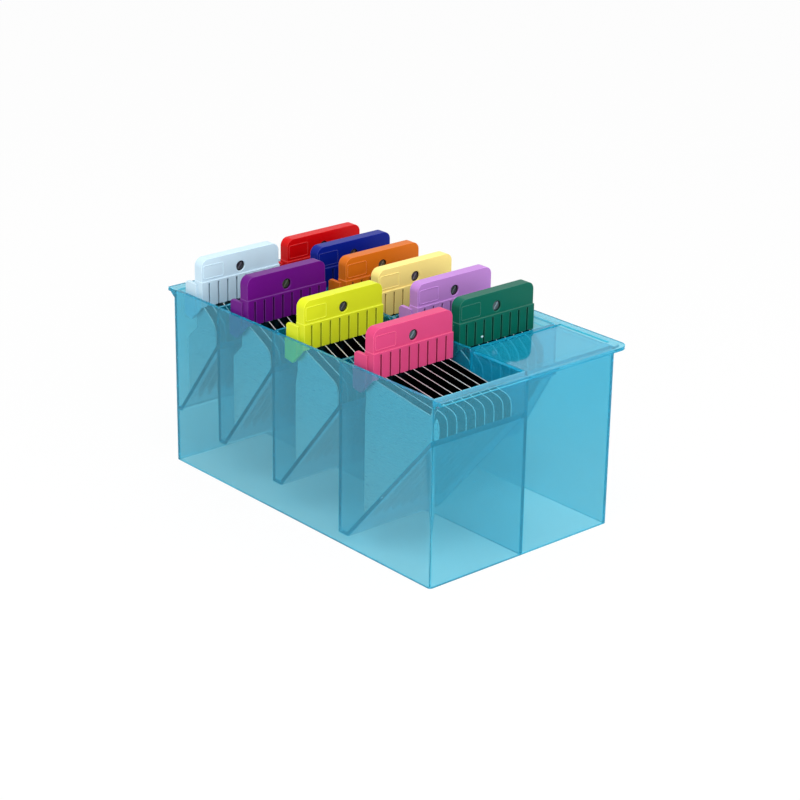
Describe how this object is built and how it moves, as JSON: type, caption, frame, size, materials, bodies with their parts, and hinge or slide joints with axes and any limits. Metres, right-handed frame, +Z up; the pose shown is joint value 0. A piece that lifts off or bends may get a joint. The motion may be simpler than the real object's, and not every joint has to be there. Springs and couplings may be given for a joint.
{
  "type": "guard comb set",
  "caption": "Translucent divided tray with a row of large and a row of small clipper guard combs, each with steel tines and a sprung clip.",
  "frame": {"origin": "on the table plane under the middle wall, half way along the tray", "axes": "+Z up, +X along the long side towards the deepest bay, +Y towards the row of six small combs"},
  "size_m": [0.2224, 0.13, 0.1209],
  "materials": {
    "tray": "clear tinted moulding",
    "steel": "bright stamped strip",
    "light_blue": "satin moulding",
    "purple": "satin moulding",
    "lime": "satin moulding",
    "pink": "satin moulding",
    "red": "satin moulding",
    "navy": "satin moulding",
    "orange": "satin moulding",
    "cream": "satin moulding",
    "lilac": "satin moulding",
    "green": "satin moulding"
  },
  "bodies": {
    "tray": {"tray": "tray"},
    "light_blue_comb": {"light_blue_handle": "light_blue", "light_blue_tines": "steel", "light_blue_pin": "steel", "light_blue_spring": "steel"},
    "light_blue_latch": {"light_blue_clip": "steel"},
    "purple_comb": {"purple_handle": "purple", "purple_tines": "steel", "purple_pin": "steel", "purple_spring": "steel"},
    "purple_latch": {"purple_clip": "steel"},
    "lime_comb": {"lime_handle": "lime", "lime_tines": "steel", "lime_pin": "steel", "lime_spring": "steel"},
    "lime_latch": {"lime_clip": "steel"},
    "pink_comb": {"pink_handle": "pink", "pink_tines": "steel", "pink_pin": "steel", "pink_spring": "steel"},
    "pink_latch": {"pink_clip": "steel"},
    "red_comb": {"red_handle": "red", "red_tines": "steel", "red_pin": "steel", "red_spring": "steel"},
    "red_latch": {"red_clip": "steel"},
    "navy_comb": {"navy_handle": "navy", "navy_tines": "steel", "navy_pin": "steel", "navy_spring": "steel"},
    "navy_latch": {"navy_clip": "steel"},
    "orange_comb": {"orange_handle": "orange", "orange_tines": "steel", "orange_pin": "steel", "orange_spring": "steel"},
    "orange_latch": {"orange_clip": "steel"},
    "cream_comb": {"cream_handle": "cream", "cream_tines": "steel", "cream_pin": "steel", "cream_spring": "steel"},
    "cream_latch": {"cream_clip": "steel"},
    "lilac_comb": {"lilac_handle": "lilac", "lilac_tines": "steel", "lilac_pin": "steel", "lilac_spring": "steel"},
    "lilac_latch": {"lilac_clip": "steel"},
    "green_comb": {"green_handle": "green", "green_tines": "steel", "green_pin": "steel", "green_spring": "steel"},
    "green_latch": {"green_clip": "steel"}
  },
  "joints": [
    {"name": "light_blue_lift", "type": "slide", "parent": "tray", "child": "light_blue_comb", "axis": [0, 0, 1], "range_m": [0, 0.09]},
    {"name": "light_blue_latch_slide", "type": "slide", "parent": "light_blue_comb", "child": "light_blue_latch", "axis": [0, 0, 1], "range_m": [0, 0.002], "stiffness_N_per_m": 400, "springref_m": -0.004, "deforming": ["light_blue_spring"]},
    {"name": "purple_lift", "type": "slide", "parent": "tray", "child": "purple_comb", "axis": [0, 0, 1], "range_m": [0, 0.09]},
    {"name": "purple_latch_slide", "type": "slide", "parent": "purple_comb", "child": "purple_latch", "axis": [0, 0, 1], "range_m": [0, 0.002], "stiffness_N_per_m": 400, "springref_m": -0.004, "deforming": ["purple_spring"]},
    {"name": "lime_lift", "type": "slide", "parent": "tray", "child": "lime_comb", "axis": [0, 0, 1], "range_m": [0, 0.09]},
    {"name": "lime_latch_slide", "type": "slide", "parent": "lime_comb", "child": "lime_latch", "axis": [0, 0, 1], "range_m": [0, 0.002], "stiffness_N_per_m": 400, "springref_m": -0.004, "deforming": ["lime_spring"]},
    {"name": "pink_lift", "type": "slide", "parent": "tray", "child": "pink_comb", "axis": [0, 0, 1], "range_m": [0, 0.09]},
    {"name": "pink_latch_slide", "type": "slide", "parent": "pink_comb", "child": "pink_latch", "axis": [0, 0, 1], "range_m": [0, 0.002], "stiffness_N_per_m": 400, "springref_m": -0.004, "deforming": ["pink_spring"]},
    {"name": "red_lift", "type": "slide", "parent": "tray", "child": "red_comb", "axis": [0, 0, 1], "range_m": [0, 0.09]},
    {"name": "red_latch_slide", "type": "slide", "parent": "red_comb", "child": "red_latch", "axis": [0, 0, 1], "range_m": [0, 0.002], "stiffness_N_per_m": 400, "springref_m": -0.004, "deforming": ["red_spring"]},
    {"name": "navy_lift", "type": "slide", "parent": "tray", "child": "navy_comb", "axis": [0, 0, 1], "range_m": [0, 0.09]},
    {"name": "navy_latch_slide", "type": "slide", "parent": "navy_comb", "child": "navy_latch", "axis": [0, 0, 1], "range_m": [0, 0.002], "stiffness_N_per_m": 400, "springref_m": -0.004, "deforming": ["navy_spring"]},
    {"name": "orange_lift", "type": "slide", "parent": "tray", "child": "orange_comb", "axis": [0, 0, 1], "range_m": [0, 0.09]},
    {"name": "orange_latch_slide", "type": "slide", "parent": "orange_comb", "child": "orange_latch", "axis": [0, 0, 1], "range_m": [0, 0.002], "stiffness_N_per_m": 400, "springref_m": -0.004, "deforming": ["orange_spring"]},
    {"name": "cream_lift", "type": "slide", "parent": "tray", "child": "cream_comb", "axis": [0, 0, 1], "range_m": [0, 0.09]},
    {"name": "cream_latch_slide", "type": "slide", "parent": "cream_comb", "child": "cream_latch", "axis": [0, 0, 1], "range_m": [0, 0.002], "stiffness_N_per_m": 400, "springref_m": -0.004, "deforming": ["cream_spring"]},
    {"name": "lilac_lift", "type": "slide", "parent": "tray", "child": "lilac_comb", "axis": [0, 0, 1], "range_m": [0, 0.09]},
    {"name": "lilac_latch_slide", "type": "slide", "parent": "lilac_comb", "child": "lilac_latch", "axis": [0, 0, 1], "range_m": [0, 0.002], "stiffness_N_per_m": 400, "springref_m": -0.004, "deforming": ["lilac_spring"]},
    {"name": "green_lift", "type": "slide", "parent": "tray", "child": "green_comb", "axis": [0, 0, 1], "range_m": [0, 0.09]},
    {"name": "green_latch_slide", "type": "slide", "parent": "green_comb", "child": "green_latch", "axis": [0, 0, 1], "range_m": [0, 0.002], "stiffness_N_per_m": 400, "springref_m": -0.004, "deforming": ["green_spring"]}
  ]
}
